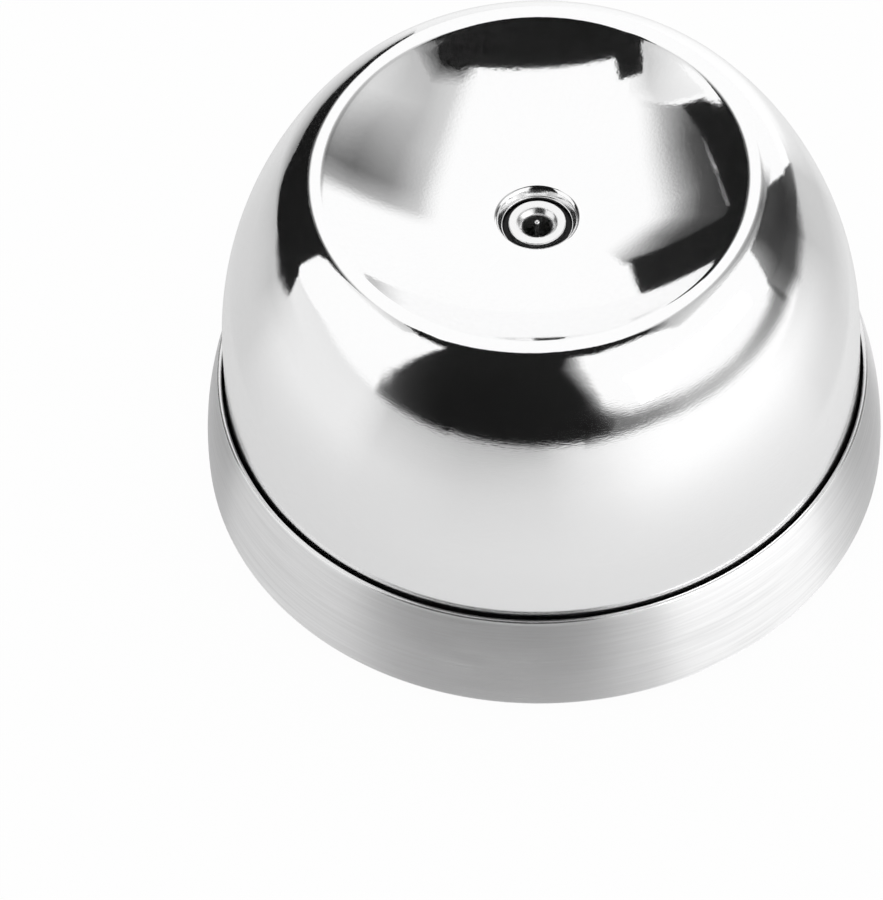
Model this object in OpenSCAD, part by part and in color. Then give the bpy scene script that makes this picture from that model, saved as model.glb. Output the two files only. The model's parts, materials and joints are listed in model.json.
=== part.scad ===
// Egg piercer: a sprung dome with an egg dish slides down into a base pan, and the
// needle that stands on the base comes out through the bush at the dish's centre.
// Millimetres, +Z up, origin on the table under the centre. The dome is drawn at rest, up.

/* [Overall] */
// Widest diameter of the base pan
base_d = 50; // [42:0.5:60]
// Height of the dome's rim above the table
overall_h = 30.6; // [28:0.1:40]
// Height of the base pan's lip above the table
pan_h = 8.9; // [8:0.1:11]
// How far the dome presses down
travel = 4; // [2.5:0.1:4.8]

/* [Dome] */
// Thickness of the dome's sheet
dome_wall = 0.6; // [0.4:0.05:0.8]
// Radius of the dome's gently curved side
side_r = 28.5; // [24:0.5:36]
// Angle that the side turns through before the shoulder
side_angle = 32.7; // [26:0.1:40]
// Radius of the shoulder
shoulder_r = 6.9; // [5:0.1:9]
// Angle that the shoulder has reached where the rim's crest starts
shoulder_angle = 60.2; // [54:0.1:68]
// Outer radius of the rim's rolled crest
crest_r = 1; // [0.9:0.05:1.5]
// Depth of the egg dish below the rim
dish_depth = 4.75; // [3.5:0.05:6]
// Gap between the dome's skirt and the base pan's lip
skirt_gap = 0.2; // [0.15:0.01:0.5]
// Room left under the dome's skirt when the dome is pressed home
skirt_room = 0.5; // [0.4:0.05:0.8]

/* [Bush and needle] */
// Radius of the countersunk dimple at the dish's centre
dimple_r = 2.92; // [2.8:0.01:3.6]
// Width of the flat edge around the dimple's hole
dimple_edge = 0.05; // [0.02:0.01:0.2]
// Depth of that edge below the dish
dimple_depth = 0.6; // [0.4:0.05:0.9]
// Radius of the bush's head
bush_head_r = 2.1; // [1.9:0.05:2.3]
// How far the bush's face stands above the edge of the dimple's hole
bush_proud = 0.2; // [0.1:0.05:0.4]
// Radius of the edge of the bush's face
bush_edge_r = 0.1; // [0.05:0.05:0.2]
// Radius of the bush's threaded shank
bush_shank_r = 1.75; // [1.5:0.05:1.9]
// Radius of the hole that the needle comes through
bush_bore_r = 1.05; // [0.7:0.05:1.2]
// Width of the funnel around that hole
bush_funnel = 0.4; // [0.2:0.05:0.5]
// Diameter of the needle
needle_d = 1; // [0.8:0.05:1.2]
// Length of the needle's point
needle_point_h = 2.6; // [1.5:0.1:4]
// Radius of the needle's blunt tip
needle_tip_r = 0.15; // [0.05:0.01:0.2]
// How far the tip stands above the bush's face at rest, which is still below the dish
needle_proud = 0.15; // [0.05:0.05:0.2]

/* [Bush nut and washer] */
// Width of the nut across its flats
nut_af = 5.5; // [4.5:0.1:6]
// Thickness of the nut
nut_h = 1.6; // [1.2:0.1:2.2]
// Outer radius of the washer
washer_r = 3.5; // [2.6:0.1:3.8]
// Thickness of the washer
washer_h = 0.5; // [0.3:0.1:0.8]

/* [Dome liner] */
// Thickness of the liner's hub under the dish
hub_h = 1.65; // [1.2:0.05:2.5]
// Wall of the spigot that centres the dimple's hole around the bush
spigot_wall = 0.33; // [0.25:0.01:0.4]
// How far the spigot's end lies below the edge of the dimple's hole
spigot_drop = 0.3; // [0.1:0.05:0.35]
// Depth of the liner's crown plate below the dish's dimple
crown_drop = 5.15; // [4:0.05:6]
// Thickness of the crown plate
crown_h = 1.5; // [1:0.1:2]
// Wall of the liner's skirt
liner_wall = 1.2; // [0.9:0.1:1.6]
// Height of the band that centres the liner in the dome's skirt
band_h = 3; // [2:0.1:4]
// Number of ribs under the dish
rib_count = 6; // [3:1:9]
// Thickness of a rib
rib_t = 1.2; // [0.8:0.1:2]
// Reach of a rib from the centre
rib_reach = 13.5; // [9:0.1:15]
// Outer radius of the guide tube
tube_r = 5.6; // [5.2:0.1:6.2]
// Radius of the guide tube's bore
tube_bore_r = 4; // [3.9:0.05:4.6]
// Radius of a screw boss
boss_r = 1.7; // [1.5:0.1:2]
// How far inside the liner's skirt the bosses end
boss_inset = 0.2; // [0.1:0.05:0.4]
// How far the bosses stand below the liner's skirt
boss_proud = 0.2; // [0.1:0.05:0.5]
// Depth left in a boss above its screw
boss_room = 1; // [0.5:0.1:2]

/* [Guide post and sleeve] */
// Radius of the guide post
post_r = 3; // [2.6:0.05:3.4]
// Running clearance between the post and its sleeve
post_fit = 0.04; // [0.02:0.01:0.08]
// Length of the sleeve
sleeve_h = 8; // [6:0.1:9]
// Thickness of the sleeve's flange
sleeve_flange_h = 0.6; // [0.4:0.1:1]
// Depth of the needle in the post
needle_seat = 6; // [4:0.1:6.5]

/* [Return spring] */
// Mean radius of the spring
spring_r = 7.2; // [6.6:0.1:8.5]
// Diameter of its wire
spring_wire = 1.1; // [0.8:0.1:1.3]
// Turns of wire
spring_turns = 5; // [4:0.5:6]
// Pitch of the first and last turn
spring_end_pitch = 1.6; // [1.55:0.05:2]

/* [Base pan] */
// Thickness of the pan's sheet
pan_wall = 0.4; // [0.3:0.05:0.6]
// Radius of the bowed wall, seen from the side
pan_bow = 25; // [22:0.5:60]
// Height of the pan's widest point above the table
pan_wide_z = 1.9; // [1.2:0.1:3]
// Radius of the pan's lower corner
pan_corner_r = 0.6; // [0.5:0.05:0.8]
// Height of the pan's rim above the table
pan_lift = 0.2; // [0.15:0.05:0.6]
// Height of the pressed-up centre above the pan's rim
pan_rise = 1.2; // [0.8:0.05:1.4]

/* [Base core] */
// Thickness of the core's floor
floor_h = 1.5; // [1.2:0.1:2]
// Width of the edge that locates the core in the pan
edge_w = 0.6; // [0.5:0.05:0.8]
// Wall of the collar
collar_wall = 1.5; // [1:0.1:2]
// Width of the collar's stop flange
flange_w = 2.4; // [2.4:0.1:3]
// Thickness of the stop flange
flange_h = 1.3; // [1:0.1:2]
// Radius of the socket wall around the post
socket_r = 5.4; // [4.6:0.1:6]
// Height of the socket wall above the floor
socket_h = 1.1; // [0.8:0.1:1.6]

/* [Retaining ring] */
// Thickness of the retaining ring
ring_h = 1.4; // [1:0.1:1.6]
// Gap under the stop flange at rest
stop_gap = 0.05; // [0.03:0.01:0.1]
// Room left under the ring when the dome is pressed home
ring_room = 0.8; // [0.5:0.1:1.2]

/* [Screws] */
// Number of retaining screws, and of core screws
screw_count = 3; // [3:1:4]
// Radius of a retaining screw's thread
retain_r = 1; // [0.8:0.05:1.1]
// Radius of a retaining screw's head
retain_head_r = 1.6; // [1.4:0.05:1.65]
// Height of a retaining screw's head
retain_head_h = 0.9; // [0.7:0.05:1.1]
// Length of a retaining screw below its head
retain_l = 5.2; // [4:0.1:6]
// Radius of a core screw's thread
core_screw_r = 1.1; // [0.9:0.05:1.3]
// Radius of a core screw's head
core_head_r = 2.1; // [1.7:0.05:2.3]
// Length of a core screw below its head
core_screw_l = 6; // [4.5:0.1:7]
// Distance of the core screws from the centre
core_screw_pos = 12.6; // [12:0.1:13]
// Radius of the core's screw bosses
core_boss_r = 2.6; // [2:0.1:2.8]
// Radius of the post screw's thread
post_screw_r = 1.5; // [1.2:0.05:1.7]
// Radius of the post screw's head
post_head_r = 2.75; // [2.4:0.05:3.2]
// Length of the post screw below its head
post_screw_l = 7.2; // [5:0.1:7.5]
// Room between the screw heads under the pan and the table
head_room = 0.35; // [0.2:0.05:0.6]

/* [Foot ring] */
// Width of the foot ring
foot_w = 5.4; // [3:0.1:5.8]
// Radius of its edges
foot_edge_r = 0.3; // [0.1:0.05:0.35]

/* [Clearances] */
// Clearance around parts that are fitted together and stay still
fit = 0.1; // [0.05:0.01:0.2]
// Clearance around threads, needle seat and pressed-in pieces
snug = 0.02; // [0.01:0.01:0.04]
// Clearance between pieces that move past each other
free = 0.3; // [0.2:0.05:0.4]

/* [Hidden] */
$fn = 96;
// Overlap that lets a cut run past a face
past = 1;
// Steps along an arc of a profile
arc_steps = 10;

// Base pan
base_r = base_d / 2;
pan_axis_r = base_r - pan_bow;
lip_r = pan_wall / 2;
lip_z = pan_h - lip_r;
lip_angle = asin((lip_z - pan_wide_z) / pan_bow);
lip_mid_r = pan_axis_r + (pan_bow - lip_r) * cos(lip_angle);
pan_floor_z = pan_lift + pan_rise;
pan_top_z = pan_floor_z + pan_wall;
trough_z = pan_lift + pan_wall;
corner_z = pan_lift + pan_corner_r;
corner_angle = asin((corner_z - pan_wide_z) / (pan_bow - pan_corner_r));
corner_mid_r = pan_axis_r + (pan_bow - pan_corner_r) * cos(corner_angle);

// Dome's outer profile, from the skirt to the dimple
dome_r = lip_mid_r - lip_r - skirt_gap;
side_c_r = dome_r - side_r;
shoulder_c_r = side_c_r + (side_r - shoulder_r) * cos(side_angle);
crest_c_r = shoulder_c_r + (shoulder_r - crest_r) * cos(shoulder_angle);
side_z = overall_h - crest_r - (shoulder_r - crest_r) * sin(shoulder_angle)
    - (side_r - shoulder_r) * sin(side_angle);
shoulder_c_z = side_z + (side_r - shoulder_r) * sin(side_angle);
crest_c_z = overall_h - crest_r;
dish_r = (pow(crest_c_r, 2) + pow(dish_depth, 2)) / (2 * dish_depth) - crest_r;
dish_c_z = overall_h - dish_depth + dish_r;
dish_angle = asin(crest_c_r / (dish_r + crest_r));
dimple_angle = asin(dimple_r / dish_r);
dimple_z = overall_h - dish_depth - dimple_depth;
spigot_in_r = bush_head_r + snug;
spigot_r = spigot_in_r + spigot_wall;
dome_hole_r = spigot_r + fit;
dimple_floor_r = dome_hole_r + dimple_edge;
spigot_z = dimple_z - spigot_drop;
skirt_z = pan_top_z + travel + skirt_room;
dome_in_r = dome_r - dome_wall;

// Stack at the centre, downwards from the dimple
hub_top_z = dimple_z - dome_wall;
hub_bottom_z = hub_top_z - hub_h;
nut_z = hub_bottom_z - washer_h - nut_h;
shank_z = nut_z - free;
crown_top_z = hub_top_z - crown_drop;
crown_z = crown_top_z - crown_h;
bush_face_z = dimple_z + bush_proud;
tip_z = bush_face_z + needle_proud;
needle_r = needle_d / 2;

// Stack at the centre, upwards from the pan's floor
core_top_z = pan_top_z + floor_h;
post_z = pan_top_z + floor_h / 3;
socket_z = core_top_z + socket_h;
post_top_z = shank_z - travel - free;
sleeve_z = socket_z + travel + free + fit;
tube_z = sleeve_z + sleeve_flange_h;
needle_z = post_top_z - needle_seat;
post_screw_z = pan_floor_z + post_screw_l;

// Liner's skirt stays inside the curved side of the dome at its top
side_in_r = side_c_r + sqrt(pow(side_r - dome_wall, 2) - pow(max(crown_top_z - side_z, 0), 2));
liner_r = min(side_in_r, dome_in_r) - free;
liner_in_r = liner_r - liner_wall;

// Retaining ring and what it hangs from
stop_z = core_top_z + travel + ring_h + ring_room;
ring_top_z = stop_z - stop_gap;
ring_z = ring_top_z - ring_h;
ring_out_r = dome_in_r - free - fit;
boss_pos = liner_r - boss_r - boss_inset;
flange_r = liner_in_r - free - fit;
collar_r = flange_r - flange_w;
core_r = dome_in_r - 2 * fit;
step_r = core_r - edge_w;
foot_r = step_r - pan_wall - 2 * fit;

// Points along an arc, from angle a0 to a1, leaving out the first ones if skip is set
function arc(c, r, a0, a1, skip = 0, n = arc_steps) =
    [for (i = [skip:n]) let (a = a0 + (a1 - a0) * i / n) c + r * [cos(a), sin(a)]];

// Height of the dish's underside, less a gap, at distance r from the axis
function under_dish_z(r, gap) = dish_c_z - sqrt(pow(dish_r + dome_wall + gap, 2) - r * r);

// Ring of the given radii and heights
module tube(r_out, r_in, z0, z1) {
    rotate_extrude()
        translate([r_in, z0])
            square([r_out - r_in, z1 - z0]);
}

// Copies spaced evenly around the axis, at distance r from it
module around(count, r, start = 0) {
    for (i = [0:count - 1])
        rotate(start + i * 360 / count)
            translate([r, 0, 0])
                children();
}

// Pan-head screw, seated at z = 0, with its head below and its thread above
module screw(r, length, head_r, head_h) {
    edge_r = head_h * 0.6;
    slot_w = head_r * 0.3;
    slot_l = head_r * 1.2;
    slot_h = head_h * 0.55;
    difference() {
        rotate_extrude()
            polygon(concat(
                [[0, -head_h]],
                arc([head_r - edge_r, edge_r - head_h], edge_r, -90, 0),
                [[head_r, 0], [r, 0], [r, length - r], [r * 0.4, length], [0, length]]
            ));
        for (turn = [0, 90])
            rotate(turn)
                translate([-slot_l / 2, -slot_w / 2, -head_h - past])
                    cube([slot_l, slot_w, slot_h + past]);
    }
}

// Polished sheet dome: skirt, side, shoulder, rolled rim, egg dish and dimple with a hole
module dome_shell() {
    w = dome_wall;
    side_c = [side_c_r, side_z];
    shoulder_c = [shoulder_c_r, shoulder_c_z];
    crest_c = [crest_c_r, crest_c_z];
    dish_c = [0, dish_c_z];
    under_angle = asin((dimple_r + w / 2) / (dish_r + w));
    color("gainsboro")
        rotate_extrude()
            polygon(concat(
                [[dome_r, skirt_z]],
                arc(side_c, side_r, 0, side_angle),
                arc(shoulder_c, shoulder_r, side_angle, shoulder_angle, 1),
                arc(crest_c, crest_r, shoulder_angle, 90 + dish_angle, 1),
                arc(dish_c, dish_r, dish_angle - 90, dimple_angle - 90, 1),
                [[dimple_floor_r, dimple_z], [dome_hole_r, dimple_z], [dome_hole_r, hub_top_z]],
                [[dimple_floor_r + w / 2, hub_top_z]],
                arc(dish_c, dish_r + w, under_angle - 90, dish_angle - 90),
                arc(crest_c, crest_r - w, 90 + dish_angle, shoulder_angle, 1),
                arc(shoulder_c, shoulder_r - w, shoulder_angle, side_angle, 1),
                arc(side_c, side_r - w, side_angle, 0, 1),
                [[dome_in_r, skirt_z]]
            ));
}

// Bush whose head stands on the liner's hub, with a funnel into its bore
module needle_bush() {
    e = bush_edge_r;
    color("whitesmoke")
        rotate_extrude()
            polygon(concat(
                [[bush_bore_r, shank_z], [bush_shank_r, shank_z], [bush_shank_r, hub_top_z]],
                [[bush_head_r, hub_top_z]],
                arc([bush_head_r - e, bush_face_z - e], e, 0, 90),
                [[bush_bore_r + bush_funnel, bush_face_z], [bush_bore_r, bush_face_z - bush_funnel]]
            ));
}

module bush_washer() {
    color("silver")
        tube(washer_r, bush_shank_r + snug, hub_bottom_z - washer_h, hub_bottom_z);
}

module bush_nut() {
    corner_r = nut_af / 2 / cos(30);
    color("silver")
        difference() {
            translate([0, 0, nut_z])
                cylinder(h = nut_h, r = corner_r, $fn = 6);
            translate([0, 0, nut_z - past])
                cylinder(h = nut_h + 2 * past, r = bush_shank_r + snug);
        }
}

// Moulded carrier inside the dome
module dome_liner() {
    bore_r = bush_shank_r + fit;
    band_r = dome_in_r - fit;
    band_z = ring_top_z + boss_proud;
    color([0.12, 0.12, 0.13])
        difference() {
            union() {
                rotate_extrude()
                    polygon([
                        [bore_r, hub_top_z], [spigot_in_r, hub_top_z], [spigot_in_r, spigot_z],
                        [spigot_r, spigot_z], [spigot_r, hub_top_z], [tube_r, hub_top_z],
                        [tube_r, crown_top_z], [liner_r, crown_top_z], [liner_r, band_z + band_h],
                        [band_r, band_z + band_h], [band_r, band_z], [liner_in_r, band_z],
                        [liner_in_r, crown_z], [tube_r, crown_z], [tube_r, tube_z],
                        [tube_bore_r, tube_z], [tube_bore_r, hub_bottom_z], [bore_r, hub_bottom_z]
                    ]);
                around(screw_count, boss_pos)
                    translate([0, 0, ring_top_z])
                        cylinder(h = crown_z + crown_h / 2 - ring_top_z, r = boss_r);
                for (i = [0:rib_count - 1])
                    rotate((i + 0.5) * 360 / rib_count)
                        rib();
            }
            around(screw_count, boss_pos)
                translate([0, 0, ring_top_z - past])
                    cylinder(h = retain_l - ring_h + boss_room + past, r = retain_r + snug);
        }
}

// One rib of the liner, between its crown plate and the dish
module rib() {
    root = tube_r - liner_wall / 2;
    foot_z = crown_top_z - crown_h / 2;
    rise = [for (i = [0:arc_steps]) rib_reach + (root - rib_reach) * i / arc_steps];
    translate([0, rib_t / 2, 0])
        rotate([90, 0, 0])
            linear_extrude(rib_t)
                polygon(concat(
                    [[root, foot_z], [rib_reach, foot_z]],
                    [for (r = rise) [r, under_dish_z(r, fit)]]
                ));
}

// Low-friction sleeve pressed into the guide tube, with a flange under its end
module guide_sleeve() {
    bore_r = post_r + post_fit;
    color("ivory")
        union() {
            tube(tube_bore_r - snug, bore_r, sleeve_z, sleeve_z + sleeve_h);
            tube(tube_r - free, bore_r, sleeve_z, tube_z);
        }
}

// Ring under the collar's stop flange, screwed to the liner
module retaining_ring() {
    color("darkslategray")
        difference() {
            tube(ring_out_r, collar_r + free, ring_z, ring_top_z);
            around(screw_count, boss_pos)
                translate([0, 0, ring_z - past])
                    cylinder(h = ring_h + 2 * past, r = retain_r + fit);
        }
}

module retaining_screws() {
    color("silver")
        around(screw_count, boss_pos)
            translate([0, 0, ring_z])
                screw(retain_r, retain_l, retain_head_r, retain_head_h);
}

// Middle line of the spring's wire: open end turns, and a wider pitch between them
spring_rings = 16;
spring_sides = 8;
spring_low_z = core_top_z + stop_gap + spring_wire / 2;
spring_high_z = crown_z - stop_gap - spring_wire / 2;
spring_mid_pitch = (spring_high_z - spring_low_z - 2 * spring_end_pitch) / (spring_turns - 2);
spring_points = spring_rings * spring_turns;
function spring_z(t) =
    t < 1 ? spring_low_z + t * spring_end_pitch :
    t > spring_turns - 1 ? spring_high_z - (spring_turns - t) * spring_end_pitch :
    spring_low_z + spring_end_pitch + (t - 1) * spring_mid_pitch;
spring_path = [
    for (i = [0:spring_points])
        let (t = i / spring_rings)
            [spring_r * cos(360 * t), spring_r * sin(360 * t), spring_z(t)]
];
spring_gap = min([
    for (i = [0:spring_points - spring_rings], j = [i + spring_rings / 2:spring_points])
        norm(spring_path[j] - spring_path[i])
]) - spring_wire;
echo(least_gap_between_spring_turns = spring_gap);

// Coil spring between the core's floor and the liner's crown, one unbroken tube
module return_spring() {
    n = spring_sides;
    points = [
        for (i = [0:spring_points], k = [0:n - 1])
            let (
                a = 360 * i / spring_rings,
                out = [cos(a), sin(a), 0],
                ahead = spring_path[min(i + 1, spring_points)] - spring_path[max(i - 1, 0)],
                side = cross(ahead, out) / norm(cross(ahead, out))
            )
                spring_path[i] + spring_wire / 2 * (out * cos(360 * k / n) + side * sin(360 * k / n))
    ];
    walls = [
        for (i = [0:spring_points - 1], k = [0:n - 1], half = [0, 1])
            let (
                here = i * n + k,
                next = i * n + (k + 1) % n
            )
                half == 0 ? [here, here + n, next] : [next, here + n, next + n]
    ];
    last = spring_points * n;
    caps = [
        for (k = [1:n - 2], end = [0, 1])
            end == 0 ? [0, k, k + 1] : [last, last + k + 1, last + k]
    ];
    color("lightsteelblue")
        polyhedron(points, concat(walls, caps));
}

module needle() {
    color("lightgray")
        rotate_extrude()
            polygon([
                [0, needle_z], [needle_r, needle_z], [needle_r, tip_z - needle_point_h],
                [needle_tip_r, tip_z - needle_tip_r], [needle_tip_r / 2, tip_z], [0, tip_z]
            ]);
}

// Turned post with the needle's seat above and the screw's thread below
module guide_post() {
    chamfer = 0.4;
    color("lightslategray")
        rotate_extrude()
            polygon([
                [post_screw_r + snug, post_z], [post_r, post_z], [post_r, post_top_z - chamfer],
                [post_r - chamfer, post_top_z], [needle_r + snug, post_top_z],
                [needle_r + snug, needle_z], [0, needle_z],
                [0, post_screw_z + free], [post_screw_r + snug, post_screw_z + free]
            ]);
}

module post_screw() {
    color("silver")
        translate([0, 0, pan_floor_z])
            screw(post_screw_r, post_screw_l, post_head_r, pan_floor_z - head_room);
}

// Black moulding in the pan: floor, locating edge, collar with stop flange, socket and bosses
module base_core() {
    color([0.1, 0.1, 0.11])
        difference() {
            union() {
                tube(core_r, post_screw_r + fit, pan_top_z, core_top_z);
                tube(core_r, step_r + snug, trough_z + snug, pan_top_z + floor_h / 2);
                tube(collar_r, collar_r - collar_wall, core_top_z - past, stop_z + flange_h);
                tube(flange_r, collar_r - collar_wall, stop_z, stop_z + flange_h);
                tube(socket_r, post_r + snug, core_top_z - past, socket_z);
                around(screw_count, core_screw_pos, 180 / screw_count)
                    translate([0, 0, core_top_z - past])
                        cylinder(h = core_screw_l - floor_h + 2 * past, r = core_boss_r);
            }
            translate([0, 0, post_z])
                cylinder(h = floor_h, r = post_r + snug);
            around(screw_count, core_screw_pos, 180 / screw_count)
                translate([0, 0, pan_top_z - past])
                    cylinder(h = core_screw_l + past, r = core_screw_r + snug);
            around(screw_count, boss_pos) {
                translate([0, 0, pan_top_z - past])
                    cylinder(h = floor_h + 2 * past, r = retain_head_r + free);
                translate([0, 0, stop_z - past])
                    cylinder(h = flange_h + 2 * past, r = boss_r + free);
            }
        }
}

module core_screws() {
    color("silver")
        around(screw_count, core_screw_pos, 180 / screw_count)
            translate([0, 0, pan_floor_z])
                screw(core_screw_r, core_screw_l, core_head_r, pan_floor_z - head_room);
}

// Brushed sheet pan: bowed wall with a rounded lip, and a pressed-up centre with screw holes
module base_pan() {
    c = [pan_axis_r, pan_wide_z];
    w = pan_wall;
    lip_c = [lip_mid_r, lip_z];
    corner_c = [corner_mid_r, corner_z];
    color("darkgray")
        difference() {
            rotate_extrude()
                polygon(concat(
                    [[post_screw_r + fit, pan_floor_z], [step_r - w, pan_floor_z], [step_r - w, pan_lift]],
                    arc(corner_c, pan_corner_r, -90, corner_angle),
                    arc(c, pan_bow, corner_angle, lip_angle, 1),
                    arc(lip_c, lip_r, lip_angle, lip_angle + 180, 1),
                    arc(c, pan_bow - w, lip_angle, corner_angle, 1),
                    arc(corner_c, pan_corner_r - w, corner_angle, -90, 1),
                    [[step_r, trough_z], [step_r, pan_top_z], [post_screw_r + fit, pan_top_z]]
                ));
            around(screw_count, core_screw_pos, 180 / screw_count)
                translate([0, 0, pan_floor_z - past])
                    cylinder(h = pan_wall + 2 * past, r = core_screw_r + fit);
        }
}

// Non-slip ring under the pan's pressed-up centre
module foot_ring() {
    e = foot_edge_r;
    color([0.15, 0.15, 0.16])
        rotate_extrude()
            polygon(concat(
                arc([foot_r - e, e], e, -90, 0),
                [[foot_r, pan_floor_z], [foot_r - foot_w, pan_floor_z]],
                arc([foot_r - foot_w + e, e], e, 180, 270)
            ));
}

dome_shell();
needle_bush();
bush_washer();
bush_nut();
dome_liner();
guide_sleeve();
retaining_ring();
retaining_screws();
return_spring();
needle();
guide_post();
post_screw();
base_core();
core_screws();
base_pan();
foot_ring();
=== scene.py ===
"""Looks of a round spring-loaded egg piercer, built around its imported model."""

import json
import math
from typing import NamedTuple

import bmesh
import bpy
from bpy.props import FloatProperty, FloatVectorProperty, IntProperty, PointerProperty
from mathutils import Matrix, Vector


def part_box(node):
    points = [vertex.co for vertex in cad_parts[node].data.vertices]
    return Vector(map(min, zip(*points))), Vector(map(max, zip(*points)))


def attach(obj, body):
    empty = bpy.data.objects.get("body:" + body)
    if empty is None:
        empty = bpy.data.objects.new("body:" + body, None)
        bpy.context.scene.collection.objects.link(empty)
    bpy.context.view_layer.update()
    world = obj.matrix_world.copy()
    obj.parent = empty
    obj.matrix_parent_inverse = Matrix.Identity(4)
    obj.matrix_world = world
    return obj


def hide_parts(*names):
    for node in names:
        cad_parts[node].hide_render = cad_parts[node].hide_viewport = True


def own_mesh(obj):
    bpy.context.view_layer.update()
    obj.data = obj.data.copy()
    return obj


bl_info = {
    "name": "Egg Piercer",
    "version": (1, 0, 0),
    "blender": (4, 5, 0),
    "location": "View3D > Sidebar > Egg Piercer",
    "description": "Builds the looks of an egg piercer around its packed model",
    "category": "Add Mesh",
}

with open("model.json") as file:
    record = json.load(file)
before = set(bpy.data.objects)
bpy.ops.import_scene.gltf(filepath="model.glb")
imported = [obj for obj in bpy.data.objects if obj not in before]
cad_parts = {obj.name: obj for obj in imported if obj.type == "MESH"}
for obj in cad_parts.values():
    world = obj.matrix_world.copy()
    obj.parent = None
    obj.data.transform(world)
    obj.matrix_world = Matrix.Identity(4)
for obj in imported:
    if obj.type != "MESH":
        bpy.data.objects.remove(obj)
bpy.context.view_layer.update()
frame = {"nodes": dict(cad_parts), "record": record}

MM = 0.001
TURN = 2 * math.pi
PICTURE = (883, 900)
SENSOR = 36.0
SAME_POINT = 1e-7
CRISP_ANGLE = math.radians(40)
# Steps of a rounded corner, and once round each piece, coil, hole or wire
CORNER_STEPS = 5
WIDE_STEPS = 288
FOOT_STEPS = 192
BUSH_STEPS = 128
NEEDLE_STEPS = 64
COIL_STEPS = 48
HOLE_STEPS = 32
WIRE_STEPS = 16
DOME_LOW, DOME_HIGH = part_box("dome_shell")
BUSH_LOW, BUSH_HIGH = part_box("needle_bush")
NEEDLE_LOW, NEEDLE_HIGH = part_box("needle")
PAN_LOW, PAN_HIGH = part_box("base_pan")
CORE_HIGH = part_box("base_core")[1]
FOOT_LOW, FOOT_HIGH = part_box("foot_ring")
SPRING_LOW, SPRING_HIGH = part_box("return_spring")


# Settings

def length(name, description, default):
    """A size in metres."""
    return FloatProperty(
        name=name, description=description, default=default, min=0.0, precision=5, unit="LENGTH")


def angle(name, description, degrees):
    """An angle, given in degrees."""
    return FloatProperty(name=name, description=description, default=math.radians(degrees), subtype="ANGLE")


def share(name, description, default):
    """A number from 0 to 1."""
    return FloatProperty(
        name=name, description=description, default=default, min=0.0, max=1.0, subtype="FACTOR")


def colour(name, description, default):
    """A colour without alpha."""
    return FloatVectorProperty(
        name=name, description=description, default=default, min=0.0, max=1.0, subtype="COLOR")


def power(name, description, default):
    """A lamp's power in watts."""
    return FloatProperty(name=name, description=description, default=default, unit="POWER")


class DomeSizes(bpy.types.PropertyGroup):
    """Sizes of the polished dome."""
    radius: length("Radius", "Outer radius of the skirt", DOME_HIGH.x)
    top: length("Top", "Height of the rim above the table", DOME_HIGH.z)
    skirt: length("Skirt", "Height of the skirt's lower edge", DOME_LOW.z)
    wall: length("Wall", "Thickness of the sheet", 0.6 * MM)
    side_radius: length("Side radius", "Radius of the bowed side", 28.5 * MM)
    side_angle: angle("Side angle", "How far the bowed side turns in", 32.7)
    shoulder_radius: length("Shoulder radius", "Radius of the shoulder", 6.9 * MM)
    shoulder_angle: angle("Shoulder angle", "Where the shoulder meets the rim", 60.2)
    rim_radius: length("Rim radius", "Radius of the rolled rim", 1.25 * MM)
    dish_depth: length("Dish depth", "Depth of the egg dish below the rim", 4.75 * MM)
    dimple_radius: length("Dimple radius", "Radius where the dimple leaves the dish", 2.92 * MM)
    dimple_floor: length("Dimple floor", "Radius where the dimple's flank ends", 2.6 * MM)
    dimple_depth: length("Dimple depth", "Depth of the dimple below the dish", 0.6 * MM)
    hole: length("Hole", "Radius of the hole in the dimple", 2.55 * MM)
    soft_edge: length("Soft edge", "How far the dimple's outer edge is rounded back", 0.25 * MM)
    crisp_edge: length("Crisp edge", "How far the sheet's cut edges are rounded back", 0.02 * MM)


class CentreSizes(bpy.types.PropertyGroup):
    """Sizes of the bush and the needle."""
    head_radius: length("Head radius", "Radius of the bush's head", BUSH_HIGH.x)
    head_top: length("Head top", "Height of the bush's face", BUSH_HIGH.z)
    head_height: length("Head height", "Height of the bush's head", 0.8 * MM)
    head_edge: length("Head edge", "Rounding of the head's edge", 0.1 * MM)
    shank_radius: length("Shank radius", "Radius of the bush below its head", 1.75 * MM)
    shank_bottom: length("Shank bottom", "Height of the bush's lower end", BUSH_LOW.z)
    bore_radius: length("Bore radius", "Radius of the hole the needle runs in", 1.05 * MM)
    funnel: length("Funnel", "Size of the chamfer into the bore", 0.4 * MM)
    funnel_edge: length("Funnel edge", "How far the funnel's edges are rounded back", 0.16 * MM)
    needle_radius: length("Needle radius", "Radius of the needle", NEEDLE_HIGH.x)
    needle_tip: length("Needle tip", "Height of the needle's tip", NEEDLE_HIGH.z)
    needle_bottom: length("Needle bottom", "Height of the needle's lower end", NEEDLE_LOW.z)
    needle_point: length("Needle point", "Length of the ground point", 2.6 * MM)
    needle_end: length("Needle end", "Radius of the needle's blunt end", 0.19 * MM)


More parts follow.
